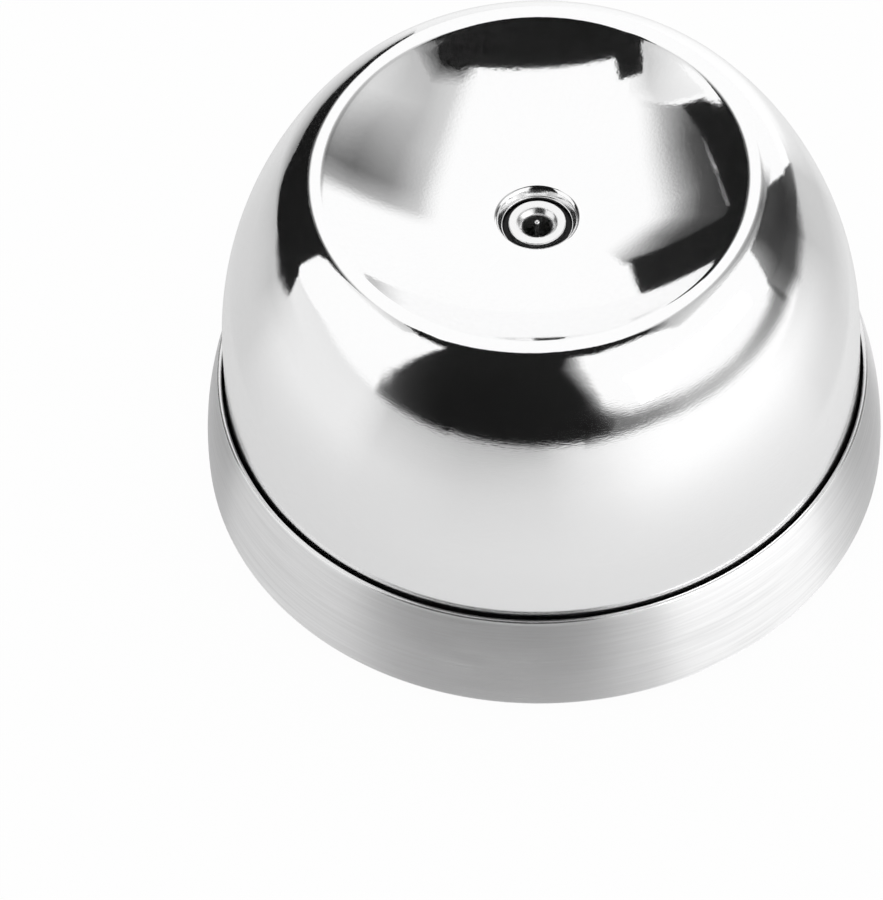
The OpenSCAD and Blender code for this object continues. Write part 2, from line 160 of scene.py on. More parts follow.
class BaseSizes(bpy.types.PropertyGroup):
    """Sizes of the brushed pan, the foot ring and the spring."""
    radius: length("Radius", "Widest radius of the pan", PAN_HIGH.x)
    bottom: length("Bottom", "Height of the pan's lower edge", PAN_LOW.z)
    top: length("Top", "Height of the pan's lip", PAN_HIGH.z)
    wall: length("Wall", "Thickness of the sheet", 0.4 * MM)
    bow: length("Bow", "Radius of the bowed wall", 25.0 * MM)
    widest: length("Widest", "Height at which the wall is widest", 1.9 * MM)
    corner: length("Corner", "Outer radius of the lower corner", 0.6 * MM)
    rise: length("Rise", "How far the centre is pressed up", 1.2 * MM)
    step: length("Step", "Radius of the wall of the pressed-up centre", CORE_HIGH.x - 0.6 * MM)
    bend: length("Bend", "How far the bends of the pressed-up centre are rounded back", 0.25 * MM)
    bore: length("Bore", "Radius of the hole for the post's screw", 1.6 * MM)
    hole_circle: length("Hole circle", "Distance of the screw holes from the axis", 12.6 * MM)
    hole: length("Hole", "Radius of a screw hole", 1.2 * MM)
    foot_width: length("Foot width", "Width of the foot ring", 5.4 * MM)
    foot_edge: length("Foot edge", "Rounding of the foot ring's edges", 0.3 * MM)
    foot_groove: length("Foot groove", "Depth of the grooves under the foot ring", 0.25 * MM)
    wire: length("Wire", "Thickness of the spring's wire", 1.1 * MM)
    turns: IntProperty(
        name="Turns", description="Turns of the spring, its two end turns among them", default=5, min=3)
    end_pitch: length("End pitch", "Pitch of the spring's end turns", 1.6 * MM)
    spring_room: length("Spring room", "Play of the spring at each end", 0.05 * MM)


class Finishes(bpy.types.PropertyGroup):
    """Colours of the finishes."""
    polished_steel: colour("Polished steel", "Mirror of the dome", (0.99, 0.99, 0.992))
    bush_steel: colour("Bush steel", "Bright turned bush", (0.95, 0.95, 0.95))
    brushed_steel: colour("Brushed steel", "Brushed pan", (0.98, 0.98, 0.982))
    needle_steel: colour("Needle steel", "Ground needle", (0.92, 0.92, 0.92))
    turned_steel: colour("Turned steel", "Guide post", (0.6, 0.6, 0.62))
    spring_steel: colour("Spring steel", "Drawn wire", (0.5, 0.51, 0.53))
    zinc_plated_steel: colour("Zinc-plated steel", "Screws, washer and nut", (0.66, 0.67, 0.7))
    black_plastic: colour("Black plastic", "Core of the base and liner of the dome", (0.012, 0.012, 0.0125))
    grey_plastic: colour("Grey plastic", "Retaining ring", (0.2, 0.2, 0.21))
    sleeve_plastic: colour("Sleeve plastic", "Low-friction sleeve", (0.82, 0.8, 0.72))
    foot_rubber: colour("Foot rubber", "Non-slip ring", (0.04, 0.04, 0.042))


class StageSettings(bpy.types.PropertyGroup):
    """Camera, floor and light."""
    elevation: angle("Elevation", "Height of the camera above the horizon", 50.94)
    roll: angle("Roll", "Turn of the picture", -1.94)
    distance: length("Distance", "From the camera to the middle of the base", 0.8)
    scale: FloatProperty(name="Scale", description="Pixels for a metre at the base", default=13430.0)
    base_pixel: FloatVectorProperty(
        name="Base pixel", description="Where the middle of the base lies in the picture",
        size=2, default=(544.6, 441.1))
    floor: colour("Floor", "Colour of the floor", (0.86, 0.86, 0.86))
    floor_white: share("Floor white", "How much of the floor shows plain white to the camera", 0.96)
    floor_mirrored: share("Floor mirrored", "How much of the floor shows its glow to the metal", 0.85)
    # Painted light and shade in the floor's glow that the metal reflects: brighter toward the window, dimmer
    # beside the object.
    glow_far: share("Glow far", "Glow of the floor on the side away from the window", 0.86)
    glow_near: FloatProperty(
        name="Glow near", description="Glow of the floor on the side of the window", default=1.08)
    glow_width: length("Glow width", "Distance over which the floor's glow changes", 0.16)
    window: angle("Window", "Heading of the window, from the right", 0.0)
    beside: share("Beside", "How much of its glow the floor keeps beside the object", 0.75)
    beside_width: length("Beside width", "Distance over which the floor gets its full glow", 0.065)
    fill: share("Fill", "Strength of the light from all around", 0.6)
    lamp_power: power("Lamp power", "Power of the overhead lamp", 2.5)
    lamp_size: length("Lamp size", "Width of the overhead lamp", 0.7)
    lamp_height: length("Lamp height", "Height of the overhead lamp", 0.8)
    lamp_back: length("Lamp back", "How far behind the object the overhead lamp hangs", 0.1)
    box_power: power("Box power", "Power of the soft box on the right", 26.0)
    box_width: length("Box width", "Width of the soft box", 2.9)
    box_depth: length("Box depth", "Height of the soft box", 1.0)
    box_heading: angle("Box heading", "Heading of the soft box, from the right", -30.0)
    box_away: angle("Box away", "How far from overhead the soft box stands", 72.0)
    card_distance: length("Card distance", "From the object to the black cards and the soft box", 3.0)


class EggPiercerSettings(bpy.types.PropertyGroup):
    """Everything that can be changed."""
    dome: PointerProperty(type=DomeSizes)
    centre: PointerProperty(type=CentreSizes)
    base: PointerProperty(type=BaseSizes)
    finishes: PointerProperty(type=Finishes)
    stage: PointerProperty(type=StageSettings)


# Modelling

class Line(NamedTuple):
    """A straight stroke of a profile. Cut is how far the corner at its end is rounded back."""
    end: tuple
    cut: float = 0.0


class Arc(NamedTuple):
    """A round stroke of a profile. Cut is how far the corner at its end is rounded back."""
    centre: tuple
    angle: float
    steps: int
    cut: float = 0.0


def draw_profile(bm, start, strokes):
    """Draws a profile in the XZ plane and returns its first vertex, its last, and the corners to round."""
    first = last = bm.verts.new((start[0], 0.0, start[1]))
    corners = []
    for stroke in strokes:
        if isinstance(stroke, Line):
            grown = bmesh.ops.extrude_vert_indiv(bm, verts=[last])
            last = grown["verts"][0]
            last.co = (stroke.end[0], 0.0, stroke.end[1])
        else:
            centre = (stroke.centre[0], 0.0, stroke.centre[1])
            swept = bmesh.ops.spin(
                bm, geom=[last], cent=centre, axis=(0.0, -1.0, 0.0), angle=stroke.angle, steps=stroke.steps)
            last = next(part for part in swept["geom_last"] if isinstance(part, bmesh.types.BMVert))
        if stroke.cut:
            corners.append((last, stroke.cut))
    return first, last, corners


def plain_mesh(name, bm):
    """A mesh from a bmesh as it is."""
    mesh = bpy.data.meshes.new(name)
    bm.to_mesh(mesh)
    bm.free()
    return mesh


def finish_mesh(name, bm):
    """A mesh from a finished bmesh, with its doubles merged and its faces outwards."""
    bmesh.ops.remove_doubles(bm, verts=bm.verts, dist=SAME_POINT)
    bmesh.ops.recalc_face_normals(bm, faces=bm.faces)
    return plain_mesh(name, bm)


def turned_mesh(name, start, strokes, steps, closed=True):
    """A mesh turned from a profile. A profile that isn't closed starts and ends on the axis."""
    bm = bmesh.new()
    first, last, corners = draw_profile(bm, start, strokes)
    if closed:
        bm.edges.new((last, first))
    for corner, cut in corners:
        bmesh.ops.bevel(
            bm, geom=[corner], offset=cut, offset_type="OFFSET", segments=CORNER_STEPS, profile=0.5,
            affect="VERTICES", material=-1)
    bmesh.ops.spin(
        bm, geom=bm.verts[:] + bm.edges[:], cent=(0.0, 0.0, 0.0), axis=(0.0, 0.0, 1.0), angle=TURN,
        steps=steps, use_merge=True)
    return finish_mesh(name, bm)


def new_piece(name, mesh, body, slot, *nodes):
    """A piece of the object that stands for CAD nodes, with smooth faces and crisp edges."""
    mesh.shade_smooth()
    mesh.set_sharp_from_angle(angle=CRISP_ANGLE)
    piece = bpy.data.objects.new(name, mesh)
    bpy.context.scene.collection.objects.link(piece)
    piece.data.materials.append(finish(slot))
    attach(piece, body)
    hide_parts(*nodes)
    return piece


def stage_piece(name, mesh, material):
    """A piece of the stage."""
    piece = bpy.data.objects.new(name, mesh)
    bpy.context.scene.collection.objects.link(piece)
    piece.data.materials.append(material)
    return piece


def polar(centre, radius, turned):
    """The point at an angle on a circle of a profile."""
    return centre[0] + radius * math.cos(turned), centre[1] + radius * math.sin(turned)


# Finishes

# Most of a noise's values lie between these two
NOISE_LOW, NOISE_HIGH = 0.3, 0.7


def add(tree, kind, inputs=None, **settings):
    """Adds a node, sets it up, and sets or links its inputs."""
    made = tree.nodes.new(kind)
    for name, value in settings.items():
        setattr(made, name, value)
    for name, value in (inputs or {}).items():
        if isinstance(value, bpy.types.NodeSocket):
            tree.links.new(value, made.inputs[name])
        else:
            made.inputs[name].default_value = value
    return made


def math_node(tree, operation, *values):
    """The result of a sum on sockets or numbers."""
    return add(tree, "ShaderNodeMath", dict(enumerate(values)), operation=operation).outputs[0]


def fit(tree, value, low, high, start=0.0, end=1.0, soft=False):
    """A value that runs from start to end, fitted between two others."""
    ends = {"Value": value, "From Min": start, "From Max": end, "To Min": low, "To Max": high}
    kind = "SMOOTHSTEP" if soft else "LINEAR"
    return add(tree, "ShaderNodeMapRange", ends, interpolation_type=kind).outputs["Result"]


def mixed(tree, first, second, part):
    """Two values mixed, with that part of the second."""
    return math_node(tree, "MULTIPLY_ADD", second, part, math_node(tree, "MULTIPLY", first, 1.0 - part))


def new_group(name, inputs, outputs):
    """An empty shader group with number inputs, given as names and defaults, and number outputs."""
    group = bpy.data.node_groups.new(name, "ShaderNodeTree")
    for title, default in inputs.items():
        socket = group.interface.new_socket(title, in_out="INPUT", socket_type="NodeSocketFloat")
        socket.default_value = default
    for title in outputs:
        group.interface.new_socket(title, in_out="OUTPUT", socket_type="NodeSocketFloat")
    return group, group.nodes.new("NodeGroupInput").outputs, group.nodes.new("NodeGroupOutput").inputs


def spread(tree, noise):
    """A noise's middle values spread out over 0 to 1."""
    return fit(tree, noise.outputs[0], 0.0, 1.0, NOISE_LOW, NOISE_HIGH)


def turned_marks():
    """Shared effect: fine marks that run round the axis, and broad bands of the same kind."""
    name = "Turned marks"
    if name in bpy.data.node_groups:
        return bpy.data.node_groups[name]
    group, given, result = new_group(name, {"Across": 6000.0, "Along": 4.0}, ("Fine", "Broad"))
    place = add(group, "ShaderNodeTexCoord").outputs["Object"]
    split = add(group, "ShaderNodeSeparateXYZ", {0: place}).outputs
    flat = add(group, "ShaderNodeCombineXYZ", {"X": split["X"], "Y": split["Y"]}).outputs[0]
    radius = add(group, "ShaderNodeVectorMath", {0: flat}, operation="LENGTH").outputs["Value"]
    heading = add(group, "ShaderNodeVectorMath", {0: flat}, operation="NORMALIZE").outputs[0]
    along = {0: heading, "Scale": given["Along"]}
    run = add(group, "ShaderNodeVectorMath", along, operation="SCALE").outputs[0]
    path = math_node(group, "SUBTRACT", radius, split["Z"])
    for title, slow in (("Fine", 1.0), ("Broad", 0.12)):
        rate = math_node(group, "MULTIPLY", given["Across"], slow)
        rise = add(group, "ShaderNodeCombineXYZ", {"Z": math_node(group, "MULTIPLY", path, rate)}).outputs[0]
        where = add(group, "ShaderNodeVectorMath", {0: run, 1: rise}, operation="ADD").outputs[0]
        detail = {"Vector": where, "Scale": 1.0, "Detail": 3.0, "Roughness": 0.6}
        noise = add(group, "ShaderNodeTexNoise", detail)
        group.links.new(spread(group, noise), result[title])
    return group


def handling_marks():
    """Shared effect: soft uneven patches, as on a surface that has been wiped or moulded."""
    name = "Handling marks"
    if name in bpy.data.node_groups:
        return bpy.data.node_groups[name]
    group, given, result = new_group(name, {"Scale": 150.0}, ("Patches", "Grain"))
    place = add(group, "ShaderNodeTexCoord").outputs["Object"]
    for title, factor in (("Patches", 1.0), ("Grain", 40.0)):
        scale = math_node(group, "MULTIPLY", given["Scale"], factor)
        detail = {"Vector": place, "Scale": scale, "Detail": 4.0, "Roughness": 0.55}
        noise = add(group, "ShaderNodeTexNoise", detail)
        group.links.new(spread(group, noise), result[title])
    return group


def effect(tree, group, **values):
    """A shared effect placed in a material with its own values."""
    made = add(tree, "ShaderNodeGroup", node_tree=group)
    for name, value in values.items():
        made.inputs[name].default_value = value
    return made.outputs


def bare_material(name):
    """A material without nodes."""
    material = bpy.data.materials.new(name)
    material.use_nodes = True
    material.node_tree.nodes.clear()
    return material, material.node_tree


def new_material(name):
    """A material with an empty Principled shader."""
    material, tree = bare_material(name)
    shader = add(tree, "ShaderNodeBsdfPrincipled")
    add(tree, "ShaderNodeOutputMaterial", {"Surface": shader.outputs[0]})
    return material, tree, shader


def tinted(tree, base, mask, low, high):
    """A colour that is darkened or lightened between two shares by a mask."""
    strength = fit(tree, mask, low, high)
    tint = add(tree, "ShaderNodeVectorMath", {0: base, "Scale": strength}, operation="SCALE")
    return tint.outputs[0]


class Change(NamedTuple):
    """Extra roughness that runs from one amount to another between two heights."""
    low: float
    high: float
    start: float
    end: float


class Steel(NamedTuple):
    """A metal's roughness, its marks to the metre across and round the axis, their depth, and what they do.

    Dark is the colour kept in the marks, lines the part of fine marks in that, stretch the anisotropy,
    haze the veil of a worn polish, height a change of roughness, and the last field the share of the colour
    kept on an inner side, which is painted shade.
    """
    smooth: float
    rough: float
    across: float
    along: float
    depth: float
    dark: float
    lines: float
    stretch: float
    haze: float = 0.0
    height: tuple = ()
    inside: float = 1.0


class Moulding(NamedTuple):
    """A moulded surface's shine, patches to the metre, depth of its grain and range of its colour."""
    shine: float
    smooth: float
    rough: float
    patches: float
    depth: float
    dark: float
    light: float


WIPED_PATCHES = 120.0
PATCH_PART = 0.4
FINE_PART = 0.5
HAZE_ROUGHNESS = 0.5
ACROSS_MARKS = 0.25
STEELS = {
    "polished_steel": Steel(
        0.03, 0.06, 7000.0, 40.0, 0.9e-6, 0.985, 0.3, 0.3, 0.6, Change(0.1, 0.0, 21.0 * MM, 25.5 * MM)),
    "bush_steel": Steel(0.2, 0.32, 9000.0, 3.0, 0.3e-6, 0.96, 0.5, 0.3),
    # The brushed pan's last value keeps only a small share of its colour on its inner side: painted shade for
    # the gap under the dome.
    "brushed_steel": Steel(
        0.35, 0.48, 4200.0, 3.0, 3e-6, 0.84, 0.75, 1.0, 0.0,
        Change(0.0, -0.18, PAN_HIGH.z - 0.4 * MM, PAN_HIGH.z), 0.06),
    "needle_steel": Steel(0.06, 0.14, 9000.0, 3.0, 0.3e-6, 0.94, 0.5, 0.4),
    "turned_steel": Steel(0.15, 0.32, 7000.0, 3.0, 1.0e-6, 0.88, 0.5, 0.5),
    "spring_steel": Steel(0.22, 0.4, 5000.0, 6.0, 0.8e-6, 0.82, 0.3, 0.3),
    "zinc_plated_steel": Steel(0.2, 0.36, 5000.0, 4.0, 0.8e-6, 0.88, 0.3, 0.3),
}
MOULDED = {
    "black_plastic": Moulding(0.2, 0.45, 0.6, 220.0, 6e-6, 0.85, 1.15),
    "grey_plastic": Moulding(0.5, 0.36, 0.52, 220.0, 6e-6, 0.9, 1.1),
    "sleeve_plastic": Moulding(0.5, 0.22, 0.34, 180.0, 3e-6, 0.94, 1.04),
    "foot_rubber": Moulding(0.4, 0.62, 0.8, 260.0, 1.2e-5, 0.8, 1.2),
}


def steel_finish(slot, base):
    """Metal with fine marks round the axis that stretch its reflections."""
    look = STEELS[slot]
    material, tree, shader = new_material(slot)
    marks = effect(tree, turned_marks(), Across=look.across, Along=look.along)
    patches = effect(tree, handling_marks(), Scale=WIPED_PATCHES)["Patches"]
    broad = mixed(tree, marks["Broad"], patches, PATCH_PART)
    mask = mixed(tree, broad, marks["Fine"], look.lines)
    tint = tinted(tree, base, mask, look.dark, 1.0)
    # Painted shade: a marked inner side has its colour darkened to that share, standing for the shade in the
    # gap under the dome.
    if look.inside < 1.0:
        inside = add(tree, "ShaderNodeAttribute", attribute_name="inside").outputs["Fac"]
        tint = tinted(tree, tint, inside, 1.0, look.inside)
    tree.links.new(tint, shader.inputs["Base Color"])
    rough = fit(tree, mixed(tree, broad, marks["Fine"], FINE_PART), look.smooth, look.rough)
    if look.height:
        place = add(tree, "ShaderNodeSeparateXYZ", {0: add(tree, "ShaderNodeTexCoord").outputs["Object"]})
        rough = math_node(tree, "ADD", rough, fit(tree, place.outputs["Z"], *look.height, soft=True))
    tree.links.new(rough, shader.inputs["Roughness"])
    bump = add(tree, "ShaderNodeBump", {"Height": marks["Fine"], "Strength": 1.0, "Distance": look.depth})
    tree.links.new(bump.outputs[0], shader.inputs["Normal"])
    if look.haze:
        tree.links.new(fit(tree, marks["Fine"], 0.0, look.haze), shader.inputs["Coat Weight"])
        shader.inputs["Coat Roughness"].default_value = HAZE_ROUGHNESS
    shader.inputs["Metallic"].default_value = 1.0
    shader.inputs["Anisotropic"].default_value = look.stretch
    shader.inputs["Anisotropic Rotation"].default_value = ACROSS_MARKS
    around = add(tree, "ShaderNodeTangent", direction_type="RADIAL", axis="Z")
    tree.links.new(around.outputs[0], shader.inputs["Tangent"])
    return material


def moulded_finish(slot, base):
    """Moulded plastic or rubber with a fine grain."""
    look = MOULDED[slot]
    material, tree, shader = new_material(slot)
    marks = effect(tree, handling_marks(), Scale=look.patches)
    tree.links.new(tinted(tree, base, marks["Patches"], look.dark, look.light), shader.inputs["Base Color"])
    tree.links.new(fit(tree, marks["Grain"], look.smooth, look.rough), shader.inputs["Roughness"])
    shader.inputs["Specular IOR Level"].default_value = look.shine
    bump = add(tree, "ShaderNodeBump", {"Height": marks["Grain"], "Strength": 1.0, "Distance": look.depth})
    tree.links.new(bump.outputs[0], shader.inputs["Normal"])
    return material


def finish(slot):
    """The material of a slot, made when it is first asked for."""
    made = bpy.data.materials.get(slot)
    if made and made.get("piercer_finish"):
        return made
    base = tuple(getattr(bpy.context.scene.egg_piercer.finishes, slot))
    made = (steel_finish if slot in STEELS else moulded_finish)(slot, base)
    made["piercer_finish"] = True
    return made


# Pieces

CORE_SCREWS = 3
# How far through the pan's wall its inner side starts, where shade is painted into its colour
PAINTED_SHADE_PART = 0.75
# Places of the foot ring's grooves, as shares of its width
GROOVE_PLACES = (0.3, 0.5, 0.7)


class EGGPIERCER_OT_inner(bpy.types.Operator):
    """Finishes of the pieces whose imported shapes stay"""
    bl_idname = "egg_piercer.inner"
    bl_label = "Inner pieces"

    def execute(self, context):
        for part in frame["record"]["subparts"]:
            node = frame["nodes"][part["node"]]
            node.data.materials.clear()
            node.data.materials.append(finish(part["material_slot"]))
        return {"FINISHED"}


class EGGPIERCER_OT_dome(bpy.types.Operator):
    """Polished dome: skirt, bowed side, shoulder, rolled rim, egg dish and dimple"""
    bl_idname = "egg_piercer.dome"
    bl_label = "Dome"

    def execute(self, context):
        sizes = context.scene.egg_piercer.dome
        wall, crisp = sizes.wall, sizes.crisp_edge
        side, shoulder = sizes.side_angle, sizes.shoulder_angle
        to_shoulder = sizes.side_radius - sizes.shoulder_radius
        to_rim = sizes.shoulder_radius - sizes.rim_radius
        rim_z = sizes.top - sizes.rim_radius
        shoulder_z = rim_z - to_rim * math.sin(shoulder)
        side_centre = (sizes.radius - sizes.side_radius, shoulder_z - to_shoulder * math.sin(side))
        shoulder_centre = polar(side_centre, to_shoulder, side)
        rim_centre = polar(shoulder_centre, to_rim, shoulder)
        dish = (rim_centre[0] ** 2 + sizes.dish_depth ** 2) / (2 * sizes.dish_depth) - sizes.rim_radius
        dish_centre = (0.0, sizes.top - sizes.dish_depth + dish)
        reach = math.asin(rim_centre[0] / (dish + sizes.rim_radius))
        dimple = math.asin(sizes.dimple_radius / dish)
        under = math.asin((sizes.dimple_radius + wall / 2) / (dish + wall))
        floor_z = sizes.top - sizes.dish_depth - sizes.dimple_depth
        strokes = [
            Line((sizes.radius, side_centre[1])),
            Arc(side_centre, side, 40),
            Arc(shoulder_centre, shoulder - side, 24),
            Arc(rim_centre, math.pi / 2 + reach - shoulder, 24),
            Arc(dish_centre, dimple - reach, 40, sizes.soft_edge),
            Line((sizes.dimple_floor, floor_z), crisp),
            Line((sizes.hole, floor_z), crisp),
            Line((sizes.hole, floor_z - wall), crisp),
            Line((sizes.dimple_floor + wall / 2, floor_z - wall)),
            Line(polar(dish_centre, dish + wall, under - math.pi / 2)),
            Arc(dish_centre, reach - under, 24),
            Arc(rim_centre, shoulder - math.pi / 2 - reach, 10),
            Arc(shoulder_centre, side - shoulder, 12),
            Arc(side_centre, -side, 20),
            Line((sizes.radius - wall, sizes.skirt), crisp),
        ]
        mesh = turned_mesh("dome_polished", (sizes.radius, sizes.skirt), strokes, WIDE_STEPS)
        new_piece("dome_polished", mesh, "dome", "polished_steel", "dome_shell")
        return {"FINISHED"}


class EGGPIERCER_OT_bush(bpy.types.Operator):
    """Bright flanged bush with a funnel into its bore"""
    bl_idname = "egg_piercer.bush"
    bl_label = "Bush"

    def execute(self, context):
        sizes = context.scene.egg_piercer.centre
        seat = sizes.head_top - sizes.head_height
        edge = sizes.head_edge
        mouth = sizes.bore_radius + sizes.funnel
        strokes = [
            Line((sizes.shank_radius, sizes.shank_bottom), edge),
            Line((sizes.shank_radius, seat)),
            Line((sizes.head_radius, seat)),
            Line((sizes.head_radius, sizes.head_top - edge)),
            Arc((sizes.head_radius - edge, sizes.head_top - edge), math.pi / 2, 10),
            Line((mouth, sizes.head_top), sizes.funnel_edge),
            Line((sizes.bore_radius, sizes.head_top - sizes.funnel), sizes.funnel_edge),
        ]
        mesh = turned_mesh("bush_turned", (sizes.bore_radius, sizes.shank_bottom), strokes, BUSH_STEPS)
        new_piece("bush_turned", mesh, "dome", "bush_steel", "needle_bush")
        return {"FINISHED"}


class EGGPIERCER_OT_needle(bpy.types.Operator):
    """Ground needle with a blunt, rounded end"""
    bl_idname = "egg_piercer.needle"
    bl_label = "Needle"

    def execute(self, context):
        sizes = context.scene.egg_piercer.centre
        end = sizes.needle_end
        strokes = [
            Line((sizes.needle_radius, sizes.needle_bottom), end / 2),
            Line((sizes.needle_radius, sizes.needle_tip - sizes.needle_point), 2 * end),
            Line((end, sizes.needle_tip - end)),
            Arc((0.0, sizes.needle_tip - end), math.pi / 2, 8),
        ]
        mesh = turned_mesh("needle_ground", (0.0, sizes.needle_bottom), strokes, NEEDLE_STEPS, closed=False)
        new_piece("needle_ground", mesh, "base", "needle_steel", "needle")
        return {"FINISHED"}


class EGGPIERCER_OT_pan(bpy.types.Operator):
    """Brushed pan: bowed wall with a rounded lip, and a pressed-up centre with screw holes"""
    bl_idname = "egg_piercer.pan"
    bl_label = "Pan"

    def execute(self, context):
        sizes = context.scene.egg_piercer.base
        wall, bend = sizes.wall, sizes.bend
        lip = wall / 2
        centre = (sizes.radius - sizes.bow, sizes.widest)
        lip_angle = math.asin((sizes.top - lip - sizes.widest) / (sizes.bow - lip))
        lip_centre = polar(centre, sizes.bow - lip, lip_angle)
        corner_angle = math.asin((sizes.bottom + sizes.corner - sizes.widest) / (sizes.bow - sizes.corner))
        corner_centre = polar(centre, sizes.bow - sizes.corner, corner_angle)
        floor_low = sizes.bottom + sizes.rise
        floor_high = floor_low + wall
        trough = sizes.bottom + wall
        strokes = [
            Line((sizes.step - wall, floor_low), bend),
            Line((sizes.step - wall, sizes.bottom), bend),
            Line((corner_centre[0], sizes.bottom)),
            Arc(corner_centre, math.pi / 2 + corner_angle, 12),
            Arc(centre, lip_angle - corner_angle, 24),
            Arc(lip_centre, math.pi, 20),
            Arc(centre, corner_angle - lip_angle, 16),
            Arc(corner_centre, -math.pi / 2 - corner_angle, 6),
            Line((sizes.step, trough)),
            Line((sizes.step, floor_high)),
            Line((sizes.bore, floor_high)),
        ]
        mesh = turned_mesh("pan_brushed", (sizes.bore, floor_low), strokes, WIDE_STEPS)
        pan = new_piece("pan_brushed", mesh, "base", "brushed_steel", "base_pan")
        self.drill(context, pan, sizes)
        self.mark_inside(pan, sizes, centre)
        return {"FINISHED"}

    def drill(self, context, pan, sizes):
        """Cuts the screw holes through the pan's floor."""
        bm = bmesh.new()
        for place in range(CORE_SCREWS):
            turned = Matrix.Rotation(TURN * (place + 0.5) / CORE_SCREWS, 4, "Z")
            where = turned @ Matrix.Translation((sizes.hole_circle, 0.0, sizes.bottom + sizes.rise))
            bmesh.ops.create_cone(
                bm, cap_ends=True, segments=HOLE_STEPS, radius1=sizes.hole, radius2=sizes.hole,
                depth=4 * sizes.wall, matrix=where)
        cutter = bpy.data.objects.new("pan_drill", finish_mesh("pan_drill", bm))
        context.scene.collection.objects.link(cutter)
        holes = pan.modifiers.new("holes", "BOOLEAN")
        holes.operation = "DIFFERENCE"
        holes.solver = "EXACT"
        holes.object = cutter
        context.view_layer.update()
        drilled = bpy.data.meshes.new_from_object(pan.evaluated_get(context.evaluated_depsgraph_get()))
        pan.modifiers.clear()
        pan.data = drilled
        bpy.data.objects.remove(cutter)

    def mark_inside(self, pan, sizes, centre):
        """Marks the inner side of the wall, where shade is painted: its colour is darkened to stand for the
        shade in the gap under the dome.
        """
        # Painted shade: 1 on the inner side of the wall, which the finish darkens as shade in the gap under
        # the dome.
        mark = pan.data.attributes.new("inside", "FLOAT", "POINT")
        inner = sizes.bow - PAINTED_SHADE_PART * sizes.wall
        for vertex, value in zip(pan.data.vertices, mark.data):
            out, high = math.hypot(vertex.co.x, vertex.co.y), vertex.co.z
            over = out > sizes.step and high > sizes.bottom + sizes.wall / 2
            value.value = 1.0 if over and math.hypot(out - centre[0], high - centre[1]) < inner else 0.0


class EGGPIERCER_OT_foot(bpy.types.Operator):
    """Non-slip ring under the pan, with three grooves"""
    bl_idname = "egg_piercer.foot"
    bl_label = "Foot ring"

    def execute(self, context):
        sizes = context.scene.egg_piercer.base
        outer, low, high = FOOT_HIGH.x, FOOT_LOW.z, FOOT_HIGH.z
        inner = outer - sizes.foot_width
        edge, groove = sizes.foot_edge, sizes.foot_groove
        soft = groove / 3
        strokes = []
        for place in GROOVE_PLACES:
            middle = inner + place * sizes.foot_width
            strokes += [
                Line((middle - groove, low), soft),
                Line((middle, low + groove), soft),
                Line((middle + groove, low), soft),
            ]
        strokes += [
            Line((outer - edge, low)),
            Arc((outer - edge, low + edge), math.pi / 2, 8),
            Line((outer, high)),
            Line((inner, high)),
            Line((inner, low + edge)),
            Arc((inner + edge, low + edge), math.pi / 2, 8),
        ]
        mesh = turned_mesh("foot_moulded", (inner + edge, low), strokes, FOOT_STEPS)
        new_piece("foot_moulded", mesh, "base", "foot_rubber", "foot_ring")
        return {"FINISHED"}


class EGGPIERCER_OT_spring(bpy.types.Operator):
    """Coil spring of round wire with closed end turns"""
    bl_idname = "egg_piercer.spring"
    bl_label = "Return spring"

    def execute(self, context):
        sizes = context.scene.egg_piercer.base
        half = sizes.wire / 2
        low, high = SPRING_LOW.z + half, SPRING_HIGH.z - half
        middle = sizes.turns - 2
        middle_pitch = (high - low - 2 * sizes.end_pitch) / middle
        bm = bmesh.new()
        start = Matrix.Translation((SPRING_HIGH.x - half, 0.0, low)) @ Matrix.Rotation(math.pi / 2, 4, "X")
        bmesh.ops.create_circle(bm, segments=WIRE_STEPS, radius=half, matrix=start)
        section = bm.verts[:] + bm.edges[:]
        for turns, pitch in ((1, sizes.end_pitch), (middle, middle_pitch), (1, sizes.end_pitch)):
            wound = bmesh.ops.spin(
                bm, geom=section, cent=(0.0, 0.0, 0.0), dvec=(0.0, 0.0, pitch / COIL_STEPS),
                axis=(0.0, 0.0, 1.0), angle=TURN * turns, steps=COIL_STEPS * turns)
            section = wound["geom_last"]
        bmesh.ops.holes_fill(bm, edges=[edge for edge in bm.edges if edge.is_boundary])
        mesh = finish_mesh("spring_wound", bm)
        spring = new_piece("spring_wound", mesh, "base", "spring_steel", "return_spring")
        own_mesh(spring)
        return {"FINISHED"}


# Stage

FLOOR_SIZE = 8.0
FLOOR_DROP = 0.02 * MM
CLIP_NEAR, CLIP_FAR = 0.01, 20.0
FELT_BLACK = 0.008
CARD_CUTS = 7
CARD_LIFT = 0.5 * MM
SKY_STEP = 4
LEVEL_RAY = 1e-6
# The part of the dome that the cards are hung round
MIRROR_OUT = 0.9 * DOME_HIGH.x
MIRROR_HIGH = 0.8 * DOME_HIGH.z


def horizon(away, start, end):
    """Points round the sky, that many degrees from overhead, between two headings from the right."""
    count = max(2, round(abs(end - start) / SKY_STEP))
    headings = [math.radians(start + (end - start) * step / count) for step in range(count + 1)]
    return [(away * math.cos(heading), away * math.sin(heading)) for heading in headings]


def sky(away, heading, cover):
    """A scrim's point, that many degrees from overhead, at a heading in degrees from the right."""
    turned = math.radians(heading)
    return away * math.cos(turned), away * math.sin(turned), cover


def band(*stations):
    """Rows of a scrim that runs round the sky: a station is a heading, then each row's degrees and cover."""
    rows = [[] for row in stations[0][1:]]
    for start, end in zip(stations, stations[1:]):
        steps = max(1, round(abs(end[0] - start[0]) / SKY_STEP))
        for step in range(steps + 1):
            part = step / steps
            heading = start[0] + (end[0] - start[0]) * part
            for row, low, high in zip(rows, start[1:], end[1:]):
                away, cover = (first + (last - first) * part for first, last in zip(low, high))
                row.append(sky(away, heading, cover))
    return rows


def even_band(degrees, *stations):
    """A band whose rows keep their degrees: a station is a heading, then each row's cover."""
    return band(*((heading, *zip(degrees, covers)) for heading, *covers in stations))


